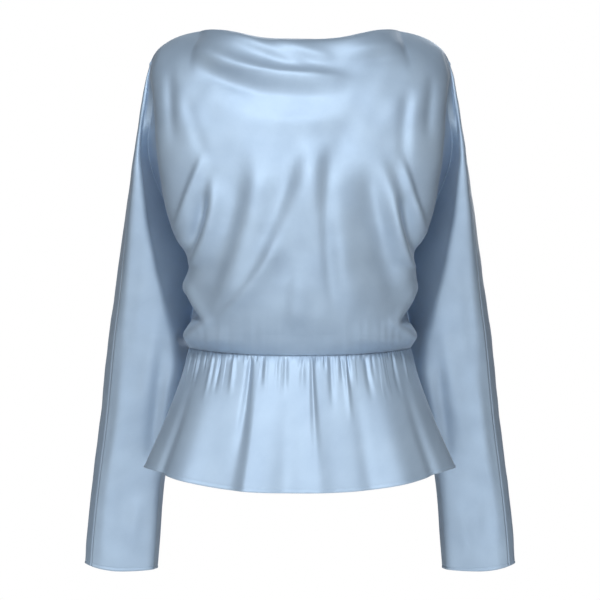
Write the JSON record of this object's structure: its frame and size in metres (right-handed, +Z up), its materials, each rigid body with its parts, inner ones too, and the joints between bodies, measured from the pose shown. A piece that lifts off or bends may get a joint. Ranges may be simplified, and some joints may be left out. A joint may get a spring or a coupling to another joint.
{
  "type": "batwing peplum top",
  "caption": "Loose satin top with batwing sleeves cut in one with the body, a wide boat neck and a gathered peplum, in its worn hollow form.",
  "frame": {"origin": "midpoint between the two shoulder points, at the height of the ends of the neck opening, where the wearer holds the garment up", "axes": "+Z up, +X towards the wearer's left, the front of the garment faces -Y"},
  "size_m": [0.5314, 0.2711, 0.6629],
  "materials": {
    "satin": "light blue satin with a soft sheen"
  },
  "bodies": {
    "root": {"front": "satin", "back": "satin", "peplum_front": "satin", "peplum_back": "satin"}
  },
  "joints": []
}
